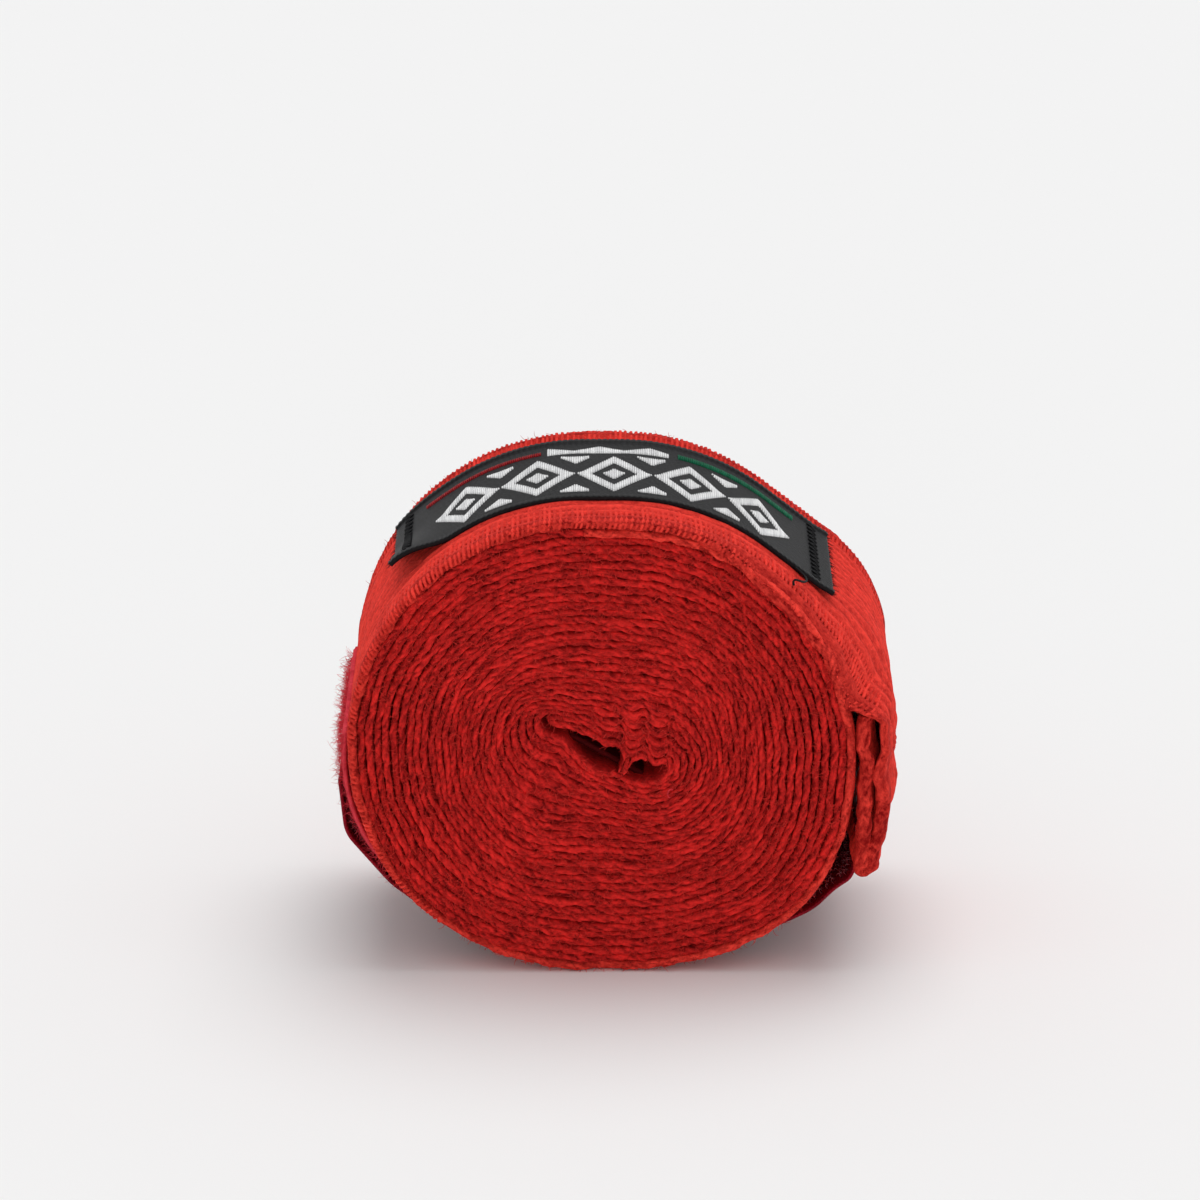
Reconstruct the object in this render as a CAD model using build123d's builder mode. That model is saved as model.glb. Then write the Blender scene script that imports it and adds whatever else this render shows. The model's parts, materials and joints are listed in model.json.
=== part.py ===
"""Hand wrap: a long elastic bandage wound into a roll that stands on its rim.

The roll's axis is Y, its front face looks along -Y and +Z is up. The origin is on the surface
that the roll stands on, under the middle of its bounding box. All sizes are millimetres.

Every flat strip (bandage, label, tapes) is drawn as a route in the XZ plane and extruded along Y.
A route follows the strip's outer face, clockwise as the front face is seen, so that the roll
is always on its right. It is a list of legs: ("run", length) or ("turn", radius, degrees), where
positive degrees turn right, around the roll, and negative degrees turn left, away from it.
"""
from build123d import *
import os
from math import acos, atan2, cos, degrees, hypot, radians, sin, sqrt

os.makedirs("parts", exist_ok=True)

# ---------------------------------------------------------------- driving dimensions
# bandage
bandage_width = 50.0        # standard boxing wrap
cloth = 1.2                 # thickness of one layer
layer_gap = 0.08            # air between wound layers
turns = 27                  # whole turns; the loose outer turn adds one more layer on the right
core_clearance = 0.1        # around the folded thumb loop in the middle of the roll
loose_from = 52.0           # the outer turn leaves the roll here, degrees above +X
loose_run = 14.0            # straight loose stretch up to the tail
selvedge_width = 3.0        # thicker woven edge band of the outer turn
selvedge_rise = 0.6         # how far that band stands proud
selvedge_from = 30.0        # it starts under the loose tail, degrees above +X
foot_squash = 0.3           # the edge bands are pressed flat by this much where they stand

# tail and end hem
tail_radius = 23.4
hem_fold_height = 17.7      # where the outer leg of the hem starts its bottom fold
hem_depth = 5.0             # thickness of the doubled hem, outside to outside
hem_tuck = 3.5              # the leg turned back on the roll's side reaches past the outer one
hem_seam_inset = 3.8        # rows of stitches, from the top and from the fold of the outer leg

# hook tape, sewn on the roll side of the hem and wrapped under the roll
tape_width = 38.0
tape_backing = 0.4
hook_height = 0.35          # standing out of the backing, beyond what sinks into cloth
tape_floor_gap = 0.05       # the tape lies this far above the surface
tape_roll_gap = 0.2         # clearance between hooks and roll
lane_side_gap = 0.5         # clearance at each side of the tape's lane under the roll
lane_from = 40.0            # degrees below +X, where the tape is still clear of the roll
lane_to = 32.0              # degrees past the lowest point, where it is clear again
tape_root_length = 17.0     # sewn stretch on the hem
tape_root_drop = 1.5        # how far the sewn stretch passes the start of the hem's bottom fold
root_seams = (2.0, 12.0)    # rows of stitches, from the top of the sewn stretch
tape_bend_radius = 3.0
under_from = 76.0           # the lower sections meet here, degrees below +X
tape_leaves = 18.0          # the tape leaves the roll this many degrees past the lowest point
left_run_1 = 7.8
left_run_2 = 8.8
left_run_3 = 7.7
tip_run = 6.9
left_radius = 12.0
left_turns = (20.0, 12.0, 34.0)
section_gap = 0.1           # slit between two sections of the tape

# loop patch on the outer turn, at the left
patch_width = 40.0
patch_from = 222.0          # degrees
patch_to = 177.0
patch_backing = 0.4
loop_height = 0.7

# woven label on top
label_front = -14.0
label_back = 18.0
label_from = 143.0          # left end, degrees
label_run = 12.5            # how far it reaches along the loose stretch
label_thickness = 0.5
label_border = 1.5
label_border_rise = 0.3
label_seam_inset = 3.2      # zigzag seam, from each end of the label
thread_tail_inset = 6.0     # loose thread end, from the right end of the label
thread_tail_radius = 1.3

# thumb loop, folded flat in the core
loop_tape = 0.7
loop_width = 7.1
loop_length = 44.0
loop_layers_gap = 0.4
tack_stitches = 4           # bar tack across the loop
tack_inset = 5.0            # from the loop's front end
tack_pitch = 1.2

# threads
thread = 0.3
stitch_width = 0.48         # a stitch lies as two strands side by side
zigzag = 25.0               # lean of every other stitch of the label's end seams
stitch_length = 2.2
stitch_pitch = 2.9
seam_edge = 1.5             # from the end of a seam to the edge of what it sews

# ---------------------------------------------------------------- derived places
# The slot in the middle has round ends and is just large enough for the thumb loop and its tack.
# Its straight stretch is in every half turn, so the roll is a little oval.
loop_thickness = 2 * loop_tape + loop_layers_gap
core_radius = loop_thickness / 2 + thread + core_clearance
core_run = loop_width + 2 * core_clearance - 2 * sqrt(core_radius**2 - (loop_thickness / 2) ** 2)
pitch = cloth + layer_gap
half_width = bandage_width / 2
first_radius = core_radius + cloth
last_radius = first_radius + turns * pitch          # outer turn, top and upper right
left_radius_outer = last_radius - pitch / 2         # outer face at the left
under_radius = last_radius - pitch                  # outer face at the bottom and right
half_core = core_run / 2
roll_z = under_radius + selvedge_rise - foot_squash  # centre of the right half turns
left_z = roll_z + pitch / 2                         # centre of the left half turns
tape_thickness = tape_backing + hook_height
tape_radius = roll_z - tape_floor_gap               # outer face of the tape under the roll
lane_radius = tape_radius - tape_thickness - tape_roll_gap


# ---------------------------------------------------------------- strips
def around(centre_x, centre_z, radius, angle):
    """Point on a circle, and the heading of a strip that passes it clockwise."""
    turn = radians(angle)
    return (centre_x + radius * cos(turn), centre_z + radius * sin(turn)), angle - 90.0


def ahead(point, heading, distance):
    """Point reached from another by going straight."""
    return (point[0] + distance * cos(radians(heading)), point[1] + distance * sin(radians(heading)))


def follow(start, heading, legs):
    """Each leg's start, its heading there, and the point and heading where the route ends."""
    places = []
    point = start
    for leg in legs:
        places.append((point, heading))
        if leg[0] == "run":
            point = ahead(point, heading, leg[1])
        else:
            side = 90.0 if leg[2] > 0 else -90.0
            centre = ahead(point, heading - side, leg[1])
            point = ahead(centre, heading + side - leg[2], leg[1])
            heading = (heading - leg[2] + 180.0) % 360.0 - 180.0
    return places, point, heading


def leg_length(leg):
    """Length of one leg on the route itself."""
    return leg[1] if leg[0] == "run" else leg[1] * abs(radians(leg[2]))


def route_length(legs):
    """Length of the whole route."""
    return sum(leg_length(leg) for leg in legs)


def along(start, heading, legs, distance):
    """Point and heading at a distance along a route."""
    done = []
    for leg in legs:
        length = leg_length(leg)
        if distance > length:
            done.append(leg)
            distance -= length
            continue
        if leg[0] == "run":
            done.append(("run", distance))
        else:
            done.append(("turn", leg[1], leg[2] * distance / length))
        break
    _, point, heading = follow(start, heading, done)
    return point, heading


def edge_of(start, heading, legs, inset):
    """Points of a line that runs `inset` inside the route: (end, None) or (end, middle of arc)."""
    points = [(ahead(start, heading - 90.0, inset), None)]
    places, end, last_heading = follow(start, heading, legs)
    ends = [place for place in places[1:]] + [(end, last_heading)]
    for leg, place, stop in zip(legs, places, ends):
        middle = None
        if leg[0] == "turn":
            _, half, half_heading = follow(place[0], place[1], [("turn", leg[1], leg[2] / 2)])
            middle = ahead(half, half_heading - 90.0, inset)
        points.append((ahead(stop[0], stop[1] - 90.0, inset), middle))
    return points


def draw_edge(points):
    """Lines and arcs through the points of an edge."""
    for before, after in zip(points[:-1], points[1:]):
        if after[1] is None:
            Line(before[0], after[0])
        else:
            ThreePointArc(before[0], after[1], after[0])


def draw_strip(start, heading, legs, outside, inside):
    """Closed outline between two insets of a route; a negative inset is outside the route."""
    outer = edge_of(start, heading, legs, outside)
    inner = edge_of(start, heading, legs, inside)
    draw_edge(outer)
    Line(outer[-1][0], inner[-1][0])
    draw_edge(inner)
    Line(inner[0][0], outer[0][0])


def front_plane(y):
    """Drawing plane square to the roll's axis, centred over it: local x is X and local y is Z."""
    return Plane(origin=(roll_x, y, 0), x_dir=(1, 0, 0), z_dir=(0, -1, 0))


def face_plane(point, heading, y, rise=0.0):
    """Plane that lies on a strip's outer face: local x is along Y, local z points outwards."""
    lifted = ahead(point, heading + 90.0, rise)
    normal = (cos(radians(heading + 90.0)), 0, sin(radians(heading + 90.0)))
    return Plane(origin=(roll_x + lifted[0], y, lifted[1]), x_dir=(0, 1, 0), z_dir=normal)


def seam_places(low, high):
    """Y of the middle of every stitch of a straight seam."""
    count = int((high - low - 2 * seam_edge - stitch_length) / stitch_pitch) + 1
    first = (low + high) / 2 - (count - 1) * stitch_pitch / 2
    return [first + number * stitch_pitch for number in range(count)]


def finish(solid, name):
    """Label a part and write it."""
    solid.label = name
    export_step(solid, f"parts/{name}.step")


# ---------------------------------------------------------------- routes, from the roll's axis
wound_start = (half_core, roll_z + first_radius)
wound_legs = []
for half_turn in range(2 * turns):
    wound_legs.append(("turn", first_radius + half_turn * pitch / 2, 180.0))
    wound_legs.append(("run", core_run))
loose_legs = [("turn", last_radius, 90.0 - loose_from), ("run", loose_run)]

_, tail_start, tail_heading = follow(wound_start, 0.0, wound_legs + loose_legs)
tail_legs = [("turn", tail_radius, 90.0 + tail_heading)]
_, hem_start, hem_heading = follow(tail_start, tail_heading, tail_legs)
hem_reach = hem_start[1] - hem_fold_height
hem_legs = [("run", hem_reach), ("turn", hem_depth / 2, 180.0), ("run", hem_reach + hem_tuck)]
hem_seams = (hem_seam_inset, hem_reach - hem_seam_inset)
hem_inner_x = hem_start[0] - hem_depth

tape_start = (hem_inner_x, hem_fold_height + tape_root_length - tape_root_drop)
root_legs = [("run", tape_root_length)]
_, tape_bend, _ = follow(tape_start, -90.0, root_legs)

# From the bend the tape runs straight to where it touches the circle that it follows.
bend_centre = (tape_bend[0] - tape_bend_radius, tape_bend[1])
to_roll = (half_core - bend_centre[0], roll_z - bend_centre[1])
centre_distance = hypot(to_roll[0], to_roll[1])
centre_angle = degrees(atan2(-to_roll[1], -to_roll[0]))
tangent_angle = centre_angle - degrees(acos((tape_radius - tape_bend_radius) / centre_distance))
tape_run = centre_distance * sin(radians(centre_angle - tangent_angle))

lower_legs = [
    ("turn", tape_bend_radius, -tangent_angle),
    ("run", tape_run),
    ("turn", tape_radius, under_from + tangent_angle),
]
_, under_start, under_heading = follow(tape_bend, -90.0, lower_legs)
under_legs = [
    ("turn", tape_radius, 90.0 - under_from),
    ("run", core_run),
    ("turn", tape_radius + pitch / 2, tape_leaves),
]
_, left_start, left_heading = follow(under_start, under_heading, under_legs)
left_legs = [
    ("run", left_run_1),
    ("turn", left_radius, left_turns[0]),
    ("run", left_run_2),
    ("turn", left_radius, left_turns[1]),
    ("run", left_run_3),
]
_, tip_start, tip_heading = follow(left_start, left_heading, left_legs)
tip_legs = [("turn", left_radius / 2, left_turns[2]), ("run", tip_run)]

label_start, label_heading = around(-half_core, left_z, left_radius_outer, label_from)
label_legs = [
    ("turn", left_radius_outer, label_from - 90.0),
    ("run", core_run),
    ("turn", last_radius, 90.0 - loose_from),
    ("run", label_run),
]
patch_start, patch_heading = around(-half_core, left_z, left_radius_outer, patch_from)
patch_legs = [("turn", left_radius_outer, patch_from - patch_to)]

# The roll's axis stands beside the origin, because the hem reaches further than the tape's tip.
_, tip_end, _ = follow(tip_start, tip_heading, tip_legs)
right_reach = hem_start[0] + thread
left_reach = max(-tip_end[0], half_core + left_radius_outer + patch_backing + loop_height)
roll_x = (left_reach - right_reach) / 2

# ---------------------------------------------------------------- bandage, wound stretch
band_start, band_heading = around(half_core, roll_z, under_radius, selvedge_from)
band_legs = [
    ("turn", under_radius, 90.0 + selvedge_from),
    ("run", core_run),
    ("turn", left_radius_outer, 180.0),
    ("run", core_run),
] + loose_legs
lane_start, lane_heading = around(half_core, roll_z, under_radius, -lane_from)
lane_legs = [
    ("turn", under_radius, 90.0 - lane_from),
    ("run", core_run),
    ("turn", left_radius_outer, lane_to),
]

with BuildPart() as bandage_roll:
    with BuildSketch(front_plane(0)):
        with BuildLine():
            draw_strip(wound_start, 0.0, wound_legs + loose_legs, 0, cloth)
        make_face()
    extrude(amount=half_width, both=True)
    # thicker woven edge bands of the outer turn, front and back
    for band_y in (-half_width + selvedge_width, half_width):
        with BuildSketch(front_plane(band_y)):
            with BuildLine():
                draw_strip(band_start, band_heading, band_legs, -selvedge_rise, cloth / 2)
            make_face()
        extrude(amount=selvedge_width)
    # lane under the roll where the hook tape beds into the cloth
    with BuildSketch(front_plane(0)):
        with BuildLine():
            draw_strip(lane_start, lane_heading, lane_legs, -cloth, under_radius - lane_radius)
        make_face()
    extrude(amount=tape_width / 2 + lane_side_gap, both=True, mode=Mode.SUBTRACT)
    # flat foot where the edge bands stand
    split(bisect_by=Plane.XY, keep=Keep.TOP)
finish(bandage_roll.part, "bandage_roll")

# ---------------------------------------------------------------- bandage, free end
with BuildPart() as bandage_tail:
    with BuildSketch(front_plane(0)):
        with BuildLine():
            draw_strip(tail_start, tail_heading, tail_legs, 0, cloth)
        make_face()
    extrude(amount=half_width, both=True)
finish(bandage_tail.part, "bandage_tail")

with BuildPart() as end_hem:
    with BuildSketch(front_plane(0)):
        with BuildLine():
            draw_strip(hem_start, hem_heading, hem_legs, 0, cloth)
        make_face()
    extrude(amount=half_width, both=True)
finish(end_hem.part, "end_hem")


def sew(name, start, heading, legs, distances, reach, lift=0.0):
    """Rows of straight stitches on a strip's outer face, one row at each distance."""
    with BuildPart() as seam:
        for distance in distances:
            point, facing = along(start, heading, legs, distance)
            for y in seam_places(-reach, reach):
                with BuildSketch(face_plane(point, facing, y, lift)):
                    SlotOverall(stitch_length, stitch_width)
                extrude(amount=thread)
    finish(seam.part, name)


sew("hem_stitching", hem_start, hem_heading, hem_legs, hem_seams, half_width)

# ---------------------------------------------------------------- hook tape
tape_sections = {
    "root": (tape_start, -90.0, root_legs),
    "lower": (tape_bend, -90.0, lower_legs),
    "under": (under_start, under_heading, under_legs),
    "left": (left_start, left_heading, left_legs),
    "tip": (tip_start, tip_heading, tip_legs),
}


def slit_legs(legs):
    """Legs of a section shortened at its end by the slit to the next section."""
    last = legs[-1]
    if last[0] == "run":
        return legs[:-1] + [("run", last[1] - section_gap)]
    return legs[:-1] + [("turn", last[1], last[2] - degrees(section_gap / last[1]))]


for section, (start, heading, legs) in tape_sections.items():
    with BuildPart() as backing:
        with BuildSketch(front_plane(0)):
            with BuildLine():
                draw_strip(start, heading, slit_legs(legs), 0, tape_backing)
            make_face()
        extrude(amount=tape_width / 2, both=True)
    finish(backing.part, f"hook_tape_{section}")
    if section == "root":
        continue                # the sewn stretch carries stitches in place of hooks
    with BuildPart() as hooks:
        with BuildSketch(front_plane(0)):
            with BuildLine():
                draw_strip(start, heading, slit_legs(legs), tape_backing, tape_thickness)
            make_face()
        extrude(amount=tape_width / 2 - seam_edge, both=True)
    finish(hooks.part, f"hooks_{section}")

root_lift = -tape_backing - thread
sew("hook_tape_stitching", tape_start, -90.0, root_legs, root_seams, tape_width / 2, root_lift)

# ---------------------------------------------------------------- loop patch
with BuildPart() as loop_patch:
    with BuildSketch(front_plane(0)):
        with BuildLine():
            draw_strip(patch_start, patch_heading, patch_legs, -patch_backing, 0)
        make_face()
    extrude(amount=patch_width / 2, both=True)
finish(loop_patch.part, "loop_patch")

patch_length = route_length(patch_legs)
pile_inset = degrees(2 * seam_edge / left_radius_outer)
pile_start, pile_heading = around(-half_core, left_z, left_radius_outer, patch_from - pile_inset)
pile_legs = [("turn", left_radius_outer, patch_from - patch_to - 2 * pile_inset)]
with BuildPart() as loop_pile:
    with BuildSketch(front_plane(0)):
        with BuildLine():
            draw_strip(pile_start, pile_heading, pile_legs, -patch_backing - loop_height, -patch_backing)
        make_face()
    extrude(amount=patch_width / 2 - 2 * seam_edge, both=True)
finish(loop_pile.part, "loop_pile")

patch_seams = (seam_edge, patch_length - seam_edge)
sew("loop_patch_stitching", patch_start, patch_heading, patch_legs, patch_seams, patch_width / 2, patch_backing)

# ---------------------------------------------------------------- woven label
with BuildPart() as woven_label:
    with BuildSketch(front_plane(label_back)):
        with BuildLine():
            draw_strip(label_start, label_heading, label_legs, -label_thickness, 0)
        make_face()
    extrude(amount=label_back - label_front)
finish(woven_label.part, "woven_label")

with BuildPart() as label_borders:
    for border_y in (label_front + label_border, label_back):
        with BuildSketch(front_plane(border_y)):
            with BuildLine():
                draw_strip(
                    label_start, label_heading, label_legs,
                    -label_thickness - label_border_rise, -label_thickness,
                )
            make_face()
        extrude(amount=label_border)
finish(label_borders.part, "label_borders")

label_length = route_length(label_legs)
with BuildPart() as label_stitching:
    for seam in (label_seam_inset, label_length - label_seam_inset):
        point, facing = along(label_start, label_heading, label_legs, seam)
        for number, y in enumerate(seam_places(label_front + label_border, label_back - label_border)):
            lean = zigzag if number % 2 else -zigzag
            with BuildSketch(face_plane(point, facing, y, label_thickness)):
                SlotOverall(stitch_length, stitch_width, rotation=lean)
            extrude(amount=thread)
finish(label_stitching.part, "label_stitching")

# loose end of the label's thread, curled on the bandage in front of the label
tail_point, tail_facing = along(label_start, label_heading, label_legs, label_length - thread_tail_inset)
with BuildPart() as label_thread_tail:
    with BuildLine(face_plane(tail_point, tail_facing, label_front, thread)):
        curl = CenterArc((-thread_tail_radius - thread, 0), thread_tail_radius, 20, 290)
    with BuildSketch(Plane(origin=curl @ 0, z_dir=curl % 0)):
        Circle(thread / 2)
    sweep()
finish(label_thread_tail.part, "label_thread_tail")

# ---------------------------------------------------------------- thumb loop in the core
with BuildPart() as thumb_loop:
    with BuildSketch(Plane.YZ.offset(roll_x)):
        with Locations((0, roll_z)):
            SlotOverall(loop_length, loop_thickness)
            SlotOverall(loop_length - 2 * loop_tape, loop_layers_gap, mode=Mode.SUBTRACT)
    extrude(amount=loop_width / 2, both=True)
finish(thumb_loop.part, "thumb_loop")

with BuildPart() as thumb_loop_stitching:
    for number in range(tack_stitches):
        tack_y = -loop_length / 2 + tack_inset + number * tack_pitch
        with BuildSketch(Plane.XY.offset(roll_z + loop_thickness / 2)):
            with Locations((roll_x, tack_y)):
                SlotOverall(loop_width - 2 * seam_edge, stitch_width)
        extrude(amount=thread)
finish(thumb_loop_stitching.part, "thumb_loop_stitching")

# ---------------------------------------------------------------- what the sizes come to
print("bandage length", round(route_length(wound_legs + loose_legs + tail_legs + hem_legs)))
print("label length", round(label_length, 1), "patch length", round(patch_length, 1))
print("hook tape length", round(sum(route_length(legs) for _, _, legs in tape_sections.values()), 1))
print("roll axis", round(roll_x, 3), round(roll_z, 3))
pivots = {"tail": tail_start, "lower": tape_bend, "under": under_start, "left": left_start, "tip": tip_start}
for name, point in pivots.items():
    print("pivot", name, round(point[0] + roll_x, 3), round(point[1], 3))
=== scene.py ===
"""Looks of the hand wrap, a long red bandage wound into a roll that stands on its rim.

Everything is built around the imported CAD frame. Lengths are millimetres until a mesh is made.
A strip (bandage, label, tapes) is laid on a route: a line in the XZ plane that its outer face
follows, clockwise as the front is seen, so that outwards is on the route's left.
A height is measured outwards from the route, and Y runs from the front (-25) to the back (25).
"""
import json
import math

import bpy
import numpy as np
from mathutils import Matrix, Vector


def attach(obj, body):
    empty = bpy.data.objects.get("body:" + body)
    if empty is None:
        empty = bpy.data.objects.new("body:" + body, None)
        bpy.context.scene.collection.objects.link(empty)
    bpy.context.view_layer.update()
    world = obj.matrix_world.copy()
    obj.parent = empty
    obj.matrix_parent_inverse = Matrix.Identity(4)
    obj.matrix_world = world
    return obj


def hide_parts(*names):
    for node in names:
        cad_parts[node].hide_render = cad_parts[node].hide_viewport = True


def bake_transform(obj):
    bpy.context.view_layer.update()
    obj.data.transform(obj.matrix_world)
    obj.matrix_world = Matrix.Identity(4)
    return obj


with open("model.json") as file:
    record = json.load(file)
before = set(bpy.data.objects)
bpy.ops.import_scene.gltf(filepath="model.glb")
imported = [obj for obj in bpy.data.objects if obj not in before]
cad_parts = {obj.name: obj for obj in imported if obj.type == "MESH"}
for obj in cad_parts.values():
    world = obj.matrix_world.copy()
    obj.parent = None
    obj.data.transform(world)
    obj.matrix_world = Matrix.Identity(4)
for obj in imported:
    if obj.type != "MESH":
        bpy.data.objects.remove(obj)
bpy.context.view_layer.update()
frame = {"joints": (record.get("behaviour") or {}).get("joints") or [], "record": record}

MM = 0.001
rng = np.random.default_rng(28)

# ---------------------------------------------------------------- sizes of the CAD
HALF_WIDTH = 25.0
CLOTH = 1.2
PITCH = 1.28
TURNS = 27
HALF_CORE = 2.71            # half of the straight stretch in every half turn
FIRST_RADIUS = 2.5
LAST_RADIUS = FIRST_RADIUS + TURNS * PITCH
UNDER_RADIUS = LAST_RADIUS - PITCH
LEFT_RADIUS = LAST_RADIUS - PITCH / 2
ROLL_X = frame["record"]["mounts"][1]["pos_m"][0] / MM
ROLL_Z = UNDER_RADIUS + 0.3
LEFT_Z = ROLL_Z + PITCH / 2
LOOSE_FROM = 52.0           # degrees above +X
LOOSE_RUN = 14.0
TAIL_RADIUS = 23.4
HEM_FOLD_HEIGHT = 17.7
HEM_DEPTH = 5.0
HEM_TUCK = 3.5
SELVEDGE = 3.0
FLOOR_CLEAR = 0.02          # no strip reaches lower than this
TAPE_HALF = 19.0
PATCH_HALF = 20.0
PATCH_FROM, PATCH_TO = 222.0, 177.0   # degrees above +X
TAPE_RADIUS = ROLL_Z - 0.05
pivots = {j["name"]: (j["pos_m"][0] / MM, j["pos_m"][2] / MM) for j in frame["joints"]}


# ---------------------------------------------------------------- noise
def wander(t, step, seed):
    """Smooth random line from -1 to 1, with a new value every `step`."""
    values = np.random.default_rng(seed).uniform(-1, 1, 4096)
    u = np.asarray(t) / step
    i = np.floor(u).astype(int)
    f = u - i
    f = f * f * (3 - 2 * f)
    return values[i % 4096] * (1 - f) + values[(i + 1) % 4096] * f


def mottle(u, v, step_u, step_v, seed):
    """Smooth random field from -1 to 1."""
    values = np.random.default_rng(seed).uniform(-1, 1, (256, 256))
    u, v = np.asarray(u) / step_u, np.asarray(v) / step_v
    i, j = np.floor(u).astype(int), np.floor(v).astype(int)
    f, g = u - i, v - j
    f, g = f * f * (3 - 2 * f), g * g * (3 - 2 * g)
    i, j, k, l = i % 256, j % 256, (i + 1) % 256, (j + 1) % 256
    near = values[i, j] * (1 - f) + values[k, j] * f
    far = values[i, l] * (1 - f) + values[k, l] * f
    return near * (1 - g) + far * g


def ramp(t, low, high):
    """0 below low, 1 above high, smooth between."""
    f = np.clip((np.asarray(t) - low) / (high - low), 0, 1)
    return f * f * (3 - 2 * f)


# ---------------------------------------------------------------- routes
def left_edge(degrees):
    """A point on the outer turn's left half, at degrees above +X."""
    a = math.radians(degrees)
    return -HALF_CORE + LEFT_RADIUS * math.cos(a), LEFT_Z + LEFT_RADIUS * math.sin(a)


class Route:
    """A strip's outer face in the XZ plane, in mm from the roll's axis and from the floor."""

    def __init__(self, points, step=0.2):
        points = np.array(points, float)
        s = np.concatenate(([0], np.cumsum(np.hypot(*np.diff(points, axis=0).T))))
        self.length = s[-1]
        self.s = np.linspace(0, self.length, int(self.length / step) + 1)
        self.points = np.stack([np.interp(self.s, s, points[:, i]) for i in (0, 1)], axis=1)
        self.marks = s

    def spot(self, s):
        return np.interp(s, self.s, self.points[:, 0]), np.interp(s, self.s, self.points[:, 1])

    def at(self, s, reach=0.2):
        """x, z and the outward direction at distances along the route."""
        x, z = self.spot(s)
        ax, az = self.spot(np.asarray(s) + reach)
        bx, bz = self.spot(np.asarray(s) - reach)
        dx, dz = ax - bx, az - bz
        size = np.maximum(np.hypot(dx, dz), 1e-9)
        return x, z, -dz / size, dx / size

    def place(self, s, y, h):
        """Points in the row frame, in mm."""
        x, z, nx, nz = self.at(s)
        return np.stack(np.broadcast_arrays(ROLL_X + x + nx * h, y, z + nz * h), axis=-1)


def trace(start, heading, legs, step=0.15):
    """Points along legs, each ("run", length) or ("turn", radius, degrees), and where they end."""
    points, (x, z), a = [start], start, math.radians(heading)
    for leg in legs:
        if leg[0] == "run":
            count = max(2, int(leg[1] / step))
            turn, chord = 0.0, leg[1] / count
        else:
            count = max(2, int(leg[1] * abs(math.radians(leg[2])) / step))
            turn = math.radians(leg[2]) / count
            chord = 2 * leg[1] * math.sin(abs(turn) / 2)
        for _ in range(count):
            a -= turn / 2
            x, z = x + chord * math.cos(a), z + chord * math.sin(a)
            a -= turn / 2
            points.append((x, z))
    return points, (x, z), math.degrees(a)


# The roll is flattened towards its middle, where the straight stretches are longer.
CORE_STRETCH = 8.6
CORE_FADES = 30.0
INNER_FOLD = 1.25           # radius of the first fold of the inner end
SAG = 2.5                   # how far the outer layers sag at the lower right
SAG_MIDDLE, SAG_SPREAD = -38.0, 24.0  # degrees above +X
LEAN, LEAN_MORE = 2.1, 0.8  # how far the hem's inner leg leans in, and its outer leg beyond that


def straight(radius):
    """Half of the straight stretch at a layer's radius."""
    return HALF_CORE + (CORE_STRETCH - HALF_CORE) * (1 - ramp(radius, 0, CORE_FADES))


def wound_points():
    """The wound stretch before it is creased, and the row of the point where each half turn
    ends."""
    inner = straight(FIRST_RADIUS)
    points = [(inner - 2 * INNER_FOLD, ROLL_Z), (-inner, ROLL_Z)]
    for a in np.radians(np.linspace(-90, -270, 14)):
        points.append((-inner + INNER_FOLD * math.cos(a), ROLL_Z + INNER_FOLD * (1 + math.sin(a))))
    ends = []
    for half in range(2 * TURNS):
        radius = FIRST_RADIUS + half * PITCH / 2
        right = half % 2 == 0
        cx = straight(radius) if right else -straight(radius)
        cz = ROLL_Z if right else LEFT_Z
        first = 90 if right else -90
        for a in np.radians(np.linspace(first, first - 180, max(12, int(radius * 9)))):
            points.append((cx + radius * math.cos(a), cz + radius * math.sin(a)))
        ends.append(len(points) - 1)
    return points, ends


def bulged(x, z, height, middle, above, below):
    """Points about the roll's axis pushed outwards, most at the angle `middle` in degrees.
    The push fades over `above` degrees on one side and over `below` on the other."""
    away = np.degrees(np.arctan2(z, x)) - middle
    far = np.maximum(np.hypot(x, z), 1e-6)
    push = height * np.exp(-((away / np.where(away > 0, above, below)) ** 2))
    return x + push * x / far, z + push * z / far


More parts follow.
